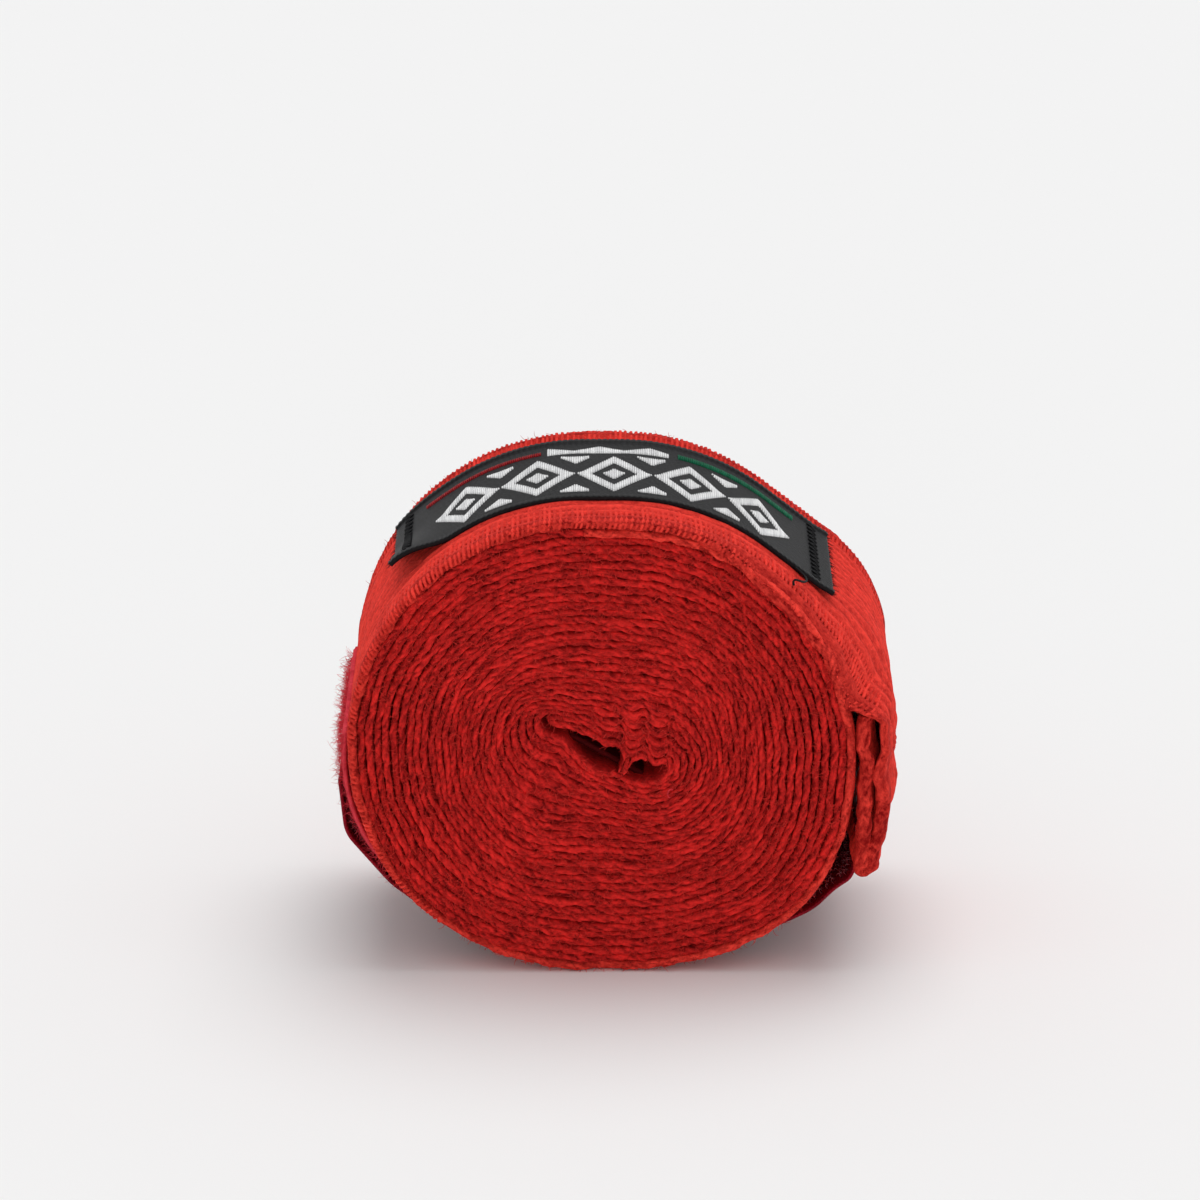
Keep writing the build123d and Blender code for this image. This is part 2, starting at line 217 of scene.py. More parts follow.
def crease(points):
    """Opens the slit in the middle of the roll, waves, turns and shifts the layers round it.
    The outer layers stay where the CAD has them, but sag a little at the lower right."""
    x, z = points[:, 0], points[:, 1] - ROLL_Z
    # folds in the upper lip, at the right
    hill = np.exp(-(((x - 4.6) / 5.6) ** 2) - (((z - 1.0) / 6.0) ** 2)) * ramp(z, -1.2, 0.2)
    z = z + 1.15 * hill * np.sin(x * 1.36 + 0.3 + 0.10 * z)
    # the open slit under the middle strip
    gap = -0.65
    lens = np.clip(1 - ((x - 1.2) / 8.4) ** 2, 0, 1)
    z = z + np.where(z > gap, 1.1, -2.3) * lens * np.exp(-np.abs(z - gap) / 7.5)
    # a dent in the lower lip, and the left end of the core higher than the slit
    dent = np.exp(-(((x - 2.0) / 2.6) ** 2) - (((z + 3.5) / 4.0) ** 2)) * ramp(-z, 0.4, 1.4)
    z = z + 0.9 * dent
    eye = np.exp(-(((x + 9.0) / 6.0) ** 2) - (((z - 0.5) / 7.0) ** 2))
    z = z + 2.6 * eye
    far = np.hypot(x / 1.45, z)
    turn = -0.36 * np.exp(-((far / 10.5) ** 2))
    x, z = x * np.cos(turn) - z * np.sin(turn), x * np.sin(turn) + z * np.cos(turn)
    near = np.exp(-((far / 12.0) ** 2))
    x, z = x + 0.3 * near, z - 0.8 * near
    # slow unevenness everywhere but in the outermost layers
    calm = 1 - ramp(far, 24, 33)
    x = x + calm * (0.6 * mottle(x, z, 11.0, 11.0, 4) + 0.22 * mottle(x, z, 4.0, 4.0, 6))
    z = z + calm * (0.6 * mottle(x, z, 11.0, 11.0, 5) + 0.22 * mottle(x, z, 4.0, 4.0, 7))
    sag = SAG * ramp(np.hypot(x, z), 12, 34)
    x, z = bulged(x, z, sag, SAG_MIDDLE, SAG_SPREAD, SAG_SPREAD)
    return np.stack([x, z + ROLL_Z], axis=1)


def lean_in(points, fade_from=None):
    """The foot of the hem, and the tape sewn in it, lean towards the roll. Left of fade_from,
    nothing leans."""
    x, z = np.array(points, float).T
    foot = 1 - ramp(z, 14, 28)
    if fade_from:
        foot = foot * ramp(x, fade_from, fade_from + 8)
    inner = hem_start[0] - HEM_DEPTH
    x = x - foot * (LEAN + LEAN_MORE * np.clip((x - inner) / HEM_DEPTH, 0, 1)) * (x > 20)
    return np.stack([x, z], axis=1)


class Wound(Route):
    """The whole bandage. Its room is how far each layer has to the next one inwards."""

    def __init__(self, flat_points, loose):
        plain = Route(flat_points)
        before, after = plain.spot(plain.s - 0.1), plain.spot(plain.s + 0.1)
        dx, dz = after[0] - before[0], after[1] - before[1]
        size = np.hypot(dx, dz)
        nx, nz = -dz / size, dx / size
        far = np.hypot(plain.points[:, 0] / 1.45, plain.points[:, 1] - ROLL_Z)
        side = PITCH + straight(far + PITCH) - straight(far)
        apart = PITCH * nz**2 + side * nx**2
        inner = plain.points - np.stack([nx, nz], axis=1) * apart[:, None]
        placed, placed_inner = crease(plain.points), crease(inner)
        tangent = np.gradient(placed, axis=0)
        tangent /= np.maximum(np.hypot(*tangent.T), 1e-9)[:, None]
        across = placed - placed_inner
        room = np.abs(across[:, 0] * -tangent[:, 1] + across[:, 1] * tangent[:, 0])
        s = np.concatenate(([0], np.cumsum(np.hypot(*np.diff(placed, axis=0).T))))
        self.wound_length = s[-1]
        self.mapped = lambda mark: float(np.interp(mark, plain.s, s))
        self.plain_marks = plain.marks
        super().__init__(np.concatenate([placed, loose]), 0.15)
        self.room_s, self.room_value = s, room

    def room(self, s):
        return np.interp(s, self.room_s, self.room_value)


wound, half_ends = wound_points()
outer_start = (HALF_CORE, ROLL_Z + LAST_RADIUS)
loose_points, tail_start, tail_heading = trace(
    outer_start, 0.0, [("turn", LAST_RADIUS, 90 - LOOSE_FROM), ("run", LOOSE_RUN)]
)
tail_legs = [("turn", TAIL_RADIUS, 90 + tail_heading)]
tail_points, hem_start, _ = trace(tail_start, tail_heading, tail_legs)
HEM_REACH = hem_start[1] - HEM_FOLD_HEIGHT
hem_legs = [("run", HEM_REACH), ("turn", HEM_DEPTH / 2, 180), ("run", HEM_REACH + HEM_TUCK)]
hem_points, _, _ = trace(hem_start, -90.0, hem_legs)
bandage = Wound(wound, lean_in(loose_points + tail_points[1:] + hem_points[1:]))
half_s = [bandage.mapped(bandage.plain_marks[row]) for row in half_ends]
outer_s = bandage.wound_length             # the last half turn ends on top of the roll
tail_s = outer_s + 2 * HALF_CORE + LAST_RADIUS * math.radians(90 - LOOSE_FROM) + LOOSE_RUN
hem_s = tail_s + TAIL_RADIUS * math.radians(90 + tail_heading)
fold_s = hem_s + HEM_REACH
tuck_s = fold_s + math.pi * HEM_DEPTH / 2


# ---------------------------------------------------------------- meshes
def mesh_of(name, points, faces, material, **marks):
    """A mesh object from points in mm. Marks are named values at the points, for its material."""
    mesh = bpy.data.meshes.new(name)
    mesh.from_pydata((np.asarray(points) * MM).tolist(), [], faces)
    mesh.polygons.foreach_set("use_smooth", [True] * len(mesh.polygons))
    for key, values in marks.items():
        values = np.asarray(values, np.float32)
        kind, field = ("FLOAT_VECTOR", "vector") if values.ndim == 2 else ("FLOAT", "value")
        mesh.attributes.new(key, kind, "POINT").data.foreach_set(field, values.ravel())
    mesh.materials.append(material)
    made = bpy.data.objects.new(name, mesh)
    bpy.context.scene.collection.objects.link(made)
    return made


def tube_faces(rows, columns):
    """Quads of an open tube of rows of points."""
    r, c = np.meshgrid(np.arange(rows - 1), np.arange(columns), indexing="ij")
    d = (c + 1) % columns
    low, high = r * columns, (r + 1) * columns
    return np.stack([low + c, low + d, high + d, high + c], -1).reshape(-1, 4)


def ring_faces(rows, columns):
    """Quads of a flat tube, with both ends closed by quads across it."""
    c = np.arange(columns // 2 - 1)
    cap = np.stack([c, columns - 1 - c, columns - 2 - c, c + 1], -1)
    last = (rows - 1) * columns
    return np.concatenate([tube_faces(rows, columns), cap, last + cap[:, ::-1]]).tolist()


def edge_columns(front, back, fine, coarse):
    """Places across a strip: close together at both edges, as far apart as `coarse` between."""
    count = max(2, int((back - front) / coarse) + 1)
    inside = np.linspace(front + fine[-1], back - fine[-1], count)
    near = np.array(fine[:-1])
    return np.concatenate([front + near, inside, (back - near)[::-1]])


def strip(name, route, s, columns, thickness, material, shape=None):
    """A closed strip with round edges. shape(s, y, h, side, edge) gives how far each point moves
    along Y and outwards, its mark of painted shade and light with random tone and, if it has a fourth value, how
    far it moves along the route. side is 1 on the outer face and -1 on the inner, edge the way to the nearer edge."""
    columns = np.asarray(columns, float)
    thickness = np.broadcast_to(np.asarray(thickness, float), s.shape)[:, None]
    inset = np.minimum(columns - columns[0], columns[-1] - columns)[None, :]
    round_in = thickness / 2
    part = np.clip(1 - inset / round_in, 0, 1)
    half = thickness / 2 * np.clip(1 - part**2.6, 0.06, 1) ** 0.42
    y = np.broadcast_to(columns[None, :], half.shape)
    ring_y = np.concatenate([y, y[:, ::-1]], axis=1)
    ring_h = np.concatenate([half - thickness / 2, (-half - thickness / 2)[:, ::-1]], axis=1)
    side = np.concatenate([np.ones_like(half), -np.ones_like(half)], axis=1)
    edge = np.concatenate([inset.repeat(len(s), 0), inset.repeat(len(s), 0)[:, ::-1]], axis=1)
    s2 = np.broadcast_to(s[:, None], ring_y.shape)
    crest = np.full(ring_y.shape, 0.5)
    drawn_back = 0
    if shape:
        dy, dh, crest, *drawn = shape(s2, ring_y, ring_h, side, edge)
        ring_y, ring_h = ring_y + dy, ring_h + dh
        drawn_back = drawn[0] if drawn else 0
    points = route.place(s2 + drawn_back, ring_y, ring_h)
    points[..., 2] = np.maximum(points[..., 2], FLOOR_CLEAR)
    flat = np.stack([s2, np.broadcast_to(ring_y, s2.shape), ring_h], axis=-1)
    return mesh_of(
        name, points.reshape(-1, 3), ring_faces(len(s), ring_y.shape[1]), material,
        crest=np.broadcast_to(crest, s2.shape).ravel(), flat=flat.reshape(-1, 3),
    )


def hairs(name, paths, radii, material, sides=3, **marks):
    """Many thin tapered tubes. paths is (hairs, points, 3) in mm; radii is (hairs, points)."""
    count, rows, _ = paths.shape
    along = np.gradient(paths, axis=1)
    along /= np.maximum(np.linalg.norm(along, axis=-1, keepdims=True), 1e-9)
    helper = np.where(np.abs(along[..., 1:2]) < 0.8, [0.0, 1.0, 0.0], [1.0, 0.0, 0.0])
    u = np.cross(along, helper)
    u /= np.maximum(np.linalg.norm(u, axis=-1, keepdims=True), 1e-9)
    v = np.cross(along, u)
    a = np.arange(sides) * 2 * math.pi / sides
    around = u[..., None, :] * np.cos(a)[:, None] + v[..., None, :] * np.sin(a)[:, None]
    points = paths[..., None, :] + around * radii[..., None, None]
    base = np.arange(count)[:, None, None] * rows * sides
    faces = (tube_faces(rows, sides)[None] + base).reshape(-1, 4).tolist()
    first = np.arange(sides)[None, ::-1] + base[:, 0]
    last = np.arange(sides)[None] + (rows - 1) * sides + base[:, 0]
    marks = {key: np.repeat(value, rows * sides, axis=0) for key, value in marks.items()}
    return mesh_of(name, points.reshape(-1, 3), faces + first.tolist() + last.tolist(), material, **marks)


# ---------------------------------------------------------------- materials
def linear(*screen):
    """A colour given as it looks on a screen: red, green and blue from 0 to 255."""
    dark = 10
    return [((c / 255 + 0.055) / 1.055) ** 2.4 if c > dark else c / 255 / 12.92 for c in screen] + [1.0]


def node(tree, kind, links=(), **values):
    """A shader node. values set its inputs by name, or its own settings; links feed its inputs."""
    made = tree.nodes.new(kind)
    for key, value in values.items():
        name = key.replace("_", " ")
        socket = next((i for i in made.inputs if i.name == name and i.enabled), None)
        if socket is None:
            setattr(made, key, value)
        else:
            socket.default_value = value
    for target, source in links:
        tree.links.new(source, made.inputs[target])
    return made


def maths(tree, operation, *terms):
    """One arithmetic node. Terms are numbers or outputs of other nodes."""
    made = tree.nodes.new("ShaderNodeMath")
    made.operation = operation
    for socket, term in zip(made.inputs, terms):
        if isinstance(term, (int, float)):
            socket.default_value = term
        else:
            tree.links.new(term, socket)
    return made.outputs[0]


def noise(tree, place, scale, detail, rough):
    return node(
        tree, "ShaderNodeTexNoise", [("Vector", place)], Scale=scale, Detail=detail, Roughness=rough
    ).outputs["Fac"]


def cloth_material(name, low, high, bump=0.5, depth=0.0003, sheen=0.3, rough=0.92, spread=1.0,
                   streaks=0.7, weave=None):
    """Matt cloth: low to high colour by the mark of painted shade and light (darker in creases and grooves,
    lighter on crests) and random tone, slanted streaks and mottling, with fibre bumps. weave is (threads per mm
    along, threads per mm across, share of the bump)."""
    made = bpy.data.materials.new(name)
    made.use_nodes = True
    tree = made.node_tree
    shader = tree.nodes["Principled BSDF"]
    shader.inputs["Roughness"].default_value = rough
    shader.inputs["Sheen Weight"].default_value = sheen
    shader.inputs["Sheen Roughness"].default_value = 0.5
    shader.inputs["Sheen Tint"].default_value = high
    shader.inputs["Specular IOR Level"].default_value = 0.12
    place = node(tree, "ShaderNodeTexCoord").outputs["Object"]
    # the mark from the mesh: painted shade in creases, grooves and under ribs, painted light on crests and ridges,
    # and random tone
    crest = node(tree, "ShaderNodeAttribute", attribute_name="crest").outputs["Fac"]
    flat = node(tree, "ShaderNodeAttribute", attribute_name="flat").outputs["Vector"]
    split = node(tree, "ShaderNodeSeparateXYZ", [("Vector", flat)])
    along, across, up = split.outputs
    slanted = node(tree, "ShaderNodeCombineXYZ", [
        ("X", maths(tree, "MULTIPLY_ADD", up, 1.7, along)),
        ("Y", across),
        ("Z", maths(tree, "MULTIPLY", up, 3.2)),
    ])
    streak = noise(tree, slanted.outputs[0], 1.3, 3.0, 0.7)
    blotch = noise(tree, place, 1300.0, 3.0, 0.7)
    grain = noise(tree, place, 3200.0, 2.0, 0.75)
    fine = maths(tree, "ADD", streak, grain)
    value = maths(tree, "MULTIPLY_ADD", streak, streaks, crest)
    value = maths(tree, "MULTIPLY_ADD", blotch, 0.8, value)
    value = maths(tree, "SUBTRACT", value, 0.5 * streaks + 0.4)
    value = maths(tree, "MULTIPLY_ADD", maths(tree, "SUBTRACT", value, 0.5), spread, 0.5)
    colour = node(tree, "ShaderNodeValToRGB", [("Fac", value)])
    colour.color_ramp.elements[0].position = 0.12
    colour.color_ramp.elements[0].color = low
    colour.color_ramp.elements[1].position = 0.88
    colour.color_ramp.elements[1].color = high
    tree.links.new(colour.outputs["Color"], shader.inputs["Base Color"])
    height = fine
    if weave:
        lines = maths(tree, "SINE", maths(tree, "MULTIPLY", along, 2 * math.pi * weave[0]))
        rows = maths(tree, "SINE", maths(tree, "MULTIPLY", across, 2 * math.pi * weave[1]))
        height = maths(tree, "MULTIPLY_ADD", maths(tree, "MULTIPLY", lines, rows), weave[2], fine)
    bumped = node(tree, "ShaderNodeBump", [("Height", height)], Strength=bump, Distance=depth)
    tree.links.new(bumped.outputs["Normal"], shader.inputs["Normal"])
    return made


def thread(name, low, high, sheen=0.3, rough=0.6):
    return cloth_material(name, linear(*low), linear(*high), bump=0.2, sheen=sheen, rough=rough)


wool = cloth_material("woolly_bandage", linear(102, 4, 7), linear(236, 44, 40), spread=1.05)
outer_wool = cloth_material("ridged_bandage", linear(136, 8, 9), linear(250, 68, 56), spread=1.05,
                            weave=(1.2, 0.9, 0.15))
nap = cloth_material("nap_fibres", linear(150, 14, 14), linear(232, 62, 54), bump=0.1)
crimson = cloth_material("crimson_tape", linear(84, 2, 14), linear(158, 16, 40), sheen=0.15,
                         rough=0.55, streaks=0.3, weave=(1.6, 2.4, 0.8))
pile = cloth_material("loop_fuzz", linear(160, 20, 36), linear(232, 72, 84), bump=0.2, sheen=0.6)
black_twill = cloth_material("black_twill", linear(6, 6, 7), linear(27, 27, 30), bump=0.3,
                             sheen=0.08, rough=0.5, streaks=0.1)
black_thread = thread("black_thread", (5, 5, 6), (26, 26, 28), sheen=0.05)
dark_tape = thread("thumb_loop_tape", (44, 2, 5), (104, 8, 12), sheen=0.05, rough=0.8)
red_thread = thread("red_thread", (120, 6, 10), (200, 36, 36))
white_thread = thread("white_thread", (200, 200, 202), (250, 250, 250))
green_thread = thread("green_thread", (6, 60, 40), (14, 104, 72))
line_thread = thread("red_line_thread", (90, 10, 16), (160, 28, 34))


def plastic(name, colour, rough, clear):
    """Half-clear monofilament with slight streaks."""
    made = bpy.data.materials.new(name)
    made.use_nodes = True
    tree = made.node_tree
    shader = tree.nodes["Principled BSDF"]
    place = node(tree, "ShaderNodeTexCoord").outputs["Object"]
    streak = node(tree, "ShaderNodeTexNoise", [("Vector", place)], Scale=1500.0, Detail=2.0)
    mix = node(tree, "ShaderNodeValToRGB", [("Fac", streak.outputs["Fac"])])
    mix.color_ramp.elements[0].color = [c * 0.6 for c in colour[:3]] + [1]
    mix.color_ramp.elements[1].color = colour
    tree.links.new(mix.outputs["Color"], shader.inputs["Base Color"])
    shader.inputs["Roughness"].default_value = rough
    shader.inputs["Transmission Weight"].default_value = clear
    return made


hook_plastic = plastic("clear_hooks", linear(190, 74, 84), 0.25, 0.45)


# ---------------------------------------------------------------- bandage
TUFT = 1.9                  # length of one tuft of the brushed edge
SLANT = 1.7
FINE_EDGE = (0, 0.08, 0.3, 0.7, 1.4)
LAYER_STEP, OUTER_STEP, LOOSE_STEP = 0.33, 0.48, 0.35
LAYER_FILL = 0.98           # share of a layer's room that its cloth takes
JOIN = 6.0                  # the outer turn ends this far before the tail


def edge_depth(s):
    """How far the edge of the cloth wanders in and out along its length."""
    return 0.3 * wander(s, 8.0, 13)


def tufts(s, y, h, side, edge):
    """The brushed edge: slanted tufts with narrow creases between, uneven depth, and painted shade in the creases.
    """
    phase = (s + SLANT * h) / TUFT + 0.7 * wander(s, 3.1, 11) + 0.35 * wander(s, 1.3, 16)
    tuft = np.abs(np.cos(math.pi * phase)) ** 0.6
    rough = mottle(s + SLANT * h, h, 0.75, 0.5, 17)
    grip = 1 - ramp(edge, 0.5, 1.3)
    depth = 0.34 * (tuft - 0.6) + 0.20 * rough + 0.26 * wander(s, 1.4, 12) + edge_depth(s)
    dy = np.sign(y) * grip * depth
    dh = grip * (0.16 * wander(s, 1.6, 14) + 0.12 * wander(s, 4.0, 18) - side * 0.08 * (1 - tuft))
    # painted shade in the creases between tufts and painted light on the tufts, over random tone
    crest = 0.5 + grip * (0.34 * (tuft - 0.62) + 0.26 * rough + 0.10 * wander(s, 5.0, 15))
    return dy, dh, crest


cuts = [0.0] + [half_s[2 * turn - 1] for turn in (10, 17, 22)] + [half_s[2 * TURNS - 3]]
for part, (low, high) in enumerate(zip(cuts[:-1], cuts[1:])):
    s = np.linspace(low, high, int((high - low) / LAYER_STEP))
    made = strip(
        f"bandage_layers_{part + 1}", bandage, s,
        edge_columns(-HALF_WIDTH, HALF_WIDTH, FINE_EDGE, 40), LAYER_FILL * bandage.room(s), wool, tufts,
    )
    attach(made, "roll")


def front_roll(s, y):
    """1 where the front edge of the cloth is rolled over, just before and on the tail."""
    return ramp(-y, 21.2, HALF_WIDTH) * ramp(s, tail_s - 26, tail_s - 10)


def tuck_in(s, y):
    """How far the front edge of the loose end is turned in: onto the roll above the hem, and in
    the hem until its two legs meet. A band along the edge is rolled over and faces the front."""
    x, z = bandage.spot(s)
    gap = np.hypot(x - HALF_CORE, z - ROLL_Z) - UNDER_RADIUS - CLOTH
    over_hem = 1 - ramp(s, hem_s - 9, hem_s - 2)
    outer_leg = 1.6 - 0.8 * ramp(s, fold_s - 7, fold_s - 3)
    outer_leg = outer_leg * (1 - ramp(s, fold_s - 2, fold_s + 2)) * ramp(-y, 13, 24)
    inner_leg = -0.8 * ramp(s, tuck_s + 2, tuck_s + 8) * ramp(-y, 19.3, 24.5)
    above = 0.96 * np.maximum(gap, 0) * ramp(-y, 6, 23)
    rolled = 2.3 * front_roll(s, y)
    below = np.where(s < (fold_s + tuck_s) / 2, outer_leg, inner_leg)
    turned = (above + rolled) * over_hem + below * (1 - over_hem)
    return turned * ramp(s, tail_s - 30, tail_s - 18) * (0.92 + 0.08 * wander(s, 4.0, 32))


ribs_s = cuts[-1] + 150     # where the ribs of the edge start to show
OUTER_EDGE = (0, 0.06, 0.2, 0.45, 0.8, 1.2, 1.6, 2.2, 2.8, 3.4)
RIDGE = 2.9                 # from one lengthwise ridge to the next


def ridges(s, y):
    return np.sin(2 * math.pi * (y / RIDGE + 0.12 * wander(s, 9.0, 25)))


def outer_cloth(s, y, h, side, edge):
    """The outer turn: lengthwise ridges, a thicker band at each edge with a groove beside it, and
    the same brushed edges. Painted light on the ridges, painted shade between them, in the grooves and on the band
    under the ribs."""
    dy, dh, crest = tufts(s, y, h, side, edge)
    band = 1 - ramp(edge, SELVEDGE - 0.6, SELVEDGE + 0.6)
    ridge = ridges(s, y)
    face = (side > 0) * ramp(edge, 0.6, 2.0)
    groove = np.exp(-(((edge - SELVEDGE - 1.0) / 0.6) ** 2))
    up = 0.30 * band + 0.20 * ridge * (1 - band) - 0.35 * groove + 0.10 * mottle(s, y, 2.4, 1.6, 21)
    up = face * up - tuck_in(s, y)
    dy = dy - 0.5 * front_roll(s, y) * (1 - ramp(s, hem_s - 9, hem_s - 2))
    # painted shade on the band under the selvedge ribs, where they show
    shade_under_ribs = 0.24 * band * ramp(s, ribs_s - 10, ribs_s + 10)
    # painted light on the ridges, painted shade between them and in the groove, with random tone
    ground = 0.60 + 0.14 * ridge - 0.2 * groove + 0.12 * mottle(s, y, 1.2, 1.2, 24)
    return dy, dh + up, np.where(edge < 1.3, crest + 0.10, ground) - shade_under_ribs


join_s = tail_s - JOIN
turn_s = np.linspace(cuts[-1], join_s, int((join_s - cuts[-1]) / OUTER_STEP))
outer_turn = strip(
    "bandage_outer_turn", bandage, turn_s, edge_columns(-HALF_WIDTH, HALF_WIDTH, OUTER_EDGE, 0.8),
    CLOTH, outer_wool, outer_cloth,
)
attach(outer_turn, "roll")
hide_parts("bandage_roll")


def loose_cloth(s, y, h, side, edge):
    """The loose end: as the outer turn, but lumpy at the hem."""
    dy, dh, crest = outer_cloth(s, y, h, side, edge)
    lump = ramp(s, hem_s - 6, hem_s + 4)
    rough = 0.3 * mottle(s, y, 4.0, 6.0, 34) + 0.2 * mottle(s, y, 1.5, 2.0, 36)
    dh = dh + lump * (0.35 * wander(s, 2.6, 33) + rough)
    dy = dy + np.sign(y) * (1 - ramp(edge, 1, 4)) * lump * (0.5 * wander(s, 3.4, 35))
    return dy, dh, crest


loose_s = np.linspace(join_s, bandage.length, int((bandage.length - join_s) / LOOSE_STEP))
at_fold = ramp(loose_s, fold_s - 5, fold_s + 1) * (1 - ramp(loose_s, tuck_s - 1, tuck_s + 5))
loose_end = strip(
    "bandage_loose_end", bandage, loose_s, edge_columns(-HALF_WIDTH, HALF_WIDTH, OUTER_EDGE, 0.8),
    CLOTH + 0.9 * ramp(loose_s, hem_s + 1, hem_s + 7) + 0.25 * at_fold, outer_wool, loose_cloth,
)


def at_pivot(name, along, reach):
    """The start and end of a bend at a joint, in metres."""
    x, z = pivots[name]
    size = math.hypot(*along)
    dx, dz = along[0] / size * reach, along[1] / size * reach
    return ((x - dx) * MM, 0, (z - dz) * MM), ((x + dx) * MM, 0, (z + dz) * MM)


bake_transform(loose_end)
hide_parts("bandage_tail", "end_hem")


# along one rib, from the face of the cloth to its edge: the way in from the edge, the height and
# the radius
RIB_IN = np.array([10.5, 8.0, 5.5, 3.2, 1.6, 0.5, 0.0, -0.12, -0.05])
RIB_H = np.array([-0.34, -0.24, -0.14, 0.04, 0.04, -0.02, -0.2, -0.5, -0.9])
RIB_SIZE = np.array([0.2, 0.26, 0.28, 0.28, 0.28, 0.28, 0.26, 0.24, 0.18])


def selvedge_ribs(name, s_low, s_high):
    """Soft ribs of the woven edge, side by side across the front and back of the outer turn."""
    paths, radii = [], []
    for side in (-1, 1):
        s = np.arange(s_low, s_high, 0.83)
        s = s + 0.14 * wander(s, 1.3, 41)
        s2 = s[:, None] + 0.35 * RIB_H[None, :]
        reach = HALF_WIDTH + 0.24 * wander(s, 1.4, 12) + edge_depth(s)
        y = side * (reach[:, None] - RIB_IN[None, :])
        h = RIB_H[None, :] + 0.13 * ridges(s2, y) * (RIB_IN > 4)
        paths.append(bandage.place(s2, y, h - tuck_in(s2, y)))
        radii.append(RIB_SIZE[None, :] * (1 + 0.15 * wander(s, 0.9, 42))[:, None])
    paths, radii = np.concatenate(paths), np.concatenate(radii)
    paths[..., 2] = np.maximum(paths[..., 2], RIB_SIZE.max() + 0.07)
    crest = 0.62 + 0.16 * wander(np.arange(len(paths)), 1.0, 43)
    return hairs(name, paths, radii, outer_wool, sides=5, crest=crest)


turn_ribs = selvedge_ribs("selvedge_ribs", ribs_s, join_s)
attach(turn_ribs, "roll")
loose_ribs = selvedge_ribs("selvedge_ribs_loose_end", join_s, hem_s - 4)
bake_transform(loose_ribs)


STITCH, STITCH_STEP = 2.3, 2.9


def seam_across(name, route, rows, first, last, height, bow, radius=0.17, sunk=None):
    """Rows of sewing stitches across a strip. bow is how far their middles stand off, and
    sunk(s, y) how far the cloth under them is turned in."""
    t = np.linspace(0, 1, 6)
    starts = np.arange(first, last, STITCH_STEP)
    s = np.repeat(rows, len(starts))[:, None] + 0 * t
    y = np.tile(starts, len(rows))[:, None] + STITCH * t
    h = height + bow * np.sin(math.pi * t) - (sunk(s, y) if sunk else 0)
    return hairs(name, route.place(s, y, h), np.full(s.shape, radius), red_thread, sides=5,
                 crest=np.full(len(s), 0.6))


# ---------------------------------------------------------------- label
LABEL_FROM = 143.0          # degrees above +X
LABEL_FRONT, LABEL_BACK = -14.0, 18.0
label_legs = [("turn", LEFT_RADIUS, LABEL_FROM - 90), ("run", 2 * HALF_CORE),
              ("turn", LAST_RADIUS, 90 - LOOSE_FROM), ("run", 12.5)]
label_route = Route(trace(left_edge(LABEL_FROM), LABEL_FROM - 90, label_legs)[0])


def label_lift(s, y):
    """The left end stands a little off the roll, most at its front corner."""
    left = (1 - ramp(s, 0, 12)) * (0.5 + 2.4 * ramp(-y, -6, 14))
    return left + 0.25 * (1 - ramp(label_route.length - s, 0, 3))


def label_drawn(s, y):
    """How far the lifted corner is drawn back along the label."""
    return 2.6 * (1 - ramp(s, 0, 16)) * ramp(-y, -8, 14)


def label_cloth(s, y, h, side, edge):
    """Slanted twill inside, with thicker ribbed borders and painted shade between the borders' ribs."""
    border = 1 - ramp(edge, 1.3, 1.7)
    rib = np.abs(np.cos(math.pi * s / 0.9))
    dh = 0.55 + label_lift(s, y) + (side > 0) * border * (0.28 + 0.14 * (rib - 0.5))
    twill = np.sign(np.sin((s - y) * 2 * math.pi / 0.9))
    # the twill is the weave's own pattern; on the borders, painted shade between the ribs
    crest = 0.5 + 0.25 * twill * (1 - border) - 0.2 * border * (1 - rib)
    return 0 * s, dh, crest, label_drawn(s, y)


label_s = np.arange(0, label_route.length, 0.22)
label_s[-1] = label_route.length
label = strip("woven_label_cloth", label_route, label_s,
              edge_columns(LABEL_FRONT, LABEL_BACK, (0, 0.08, 0.25, 0.6, 1.0, 1.3, 1.5, 1.8), 0.8),
              0.5, black_twill, label_cloth)
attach(label, "roll")
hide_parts("woven_label", "label_borders")


SATIN_STEP = 0.34


def satin(name, pieces, material):
    """Raised threads side by side across a woven motif. Each piece is (s, y_low, y_high)."""
    rows, radius = 5, 0.17
    paths, radii = [], []
    for s0, low, high in pieces:
        y = np.linspace(low, high, rows)
        s = np.full(rows, s0)
        h = 0.62 + label_lift(s, y) + np.array([-0.12, 0.05, 0.07, 0.05, -0.12])
        paths.append(label_route.place(s + label_drawn(s, y), y, h))
        radii.append(np.full(rows, radius))
    return hairs(name, np.array(paths), np.array(radii), material, sides=4,
                 crest=0.6 + 0.2 * rng.uniform(-1, 1, len(paths)))


def diamond(centre, middle, half_long, half_high, hollow):
    """Threads of a diamond; hollow is the share of it left open in the middle."""
    found = []
    for ds in np.arange(-half_long + SATIN_STEP / 2, half_long, SATIN_STEP):
        reach = half_high * (1 - abs(ds) / half_long)
        open_reach = hollow * half_high * (1 - abs(ds) / (hollow * half_long)) if hollow else 0
        if open_reach > 0:
            found.append((centre + ds, middle - reach, middle - open_reach))
            found.append((centre + ds, middle + open_reach, middle + reach))
        else:
            found.append((centre + ds, middle - reach, middle + reach))
    return found


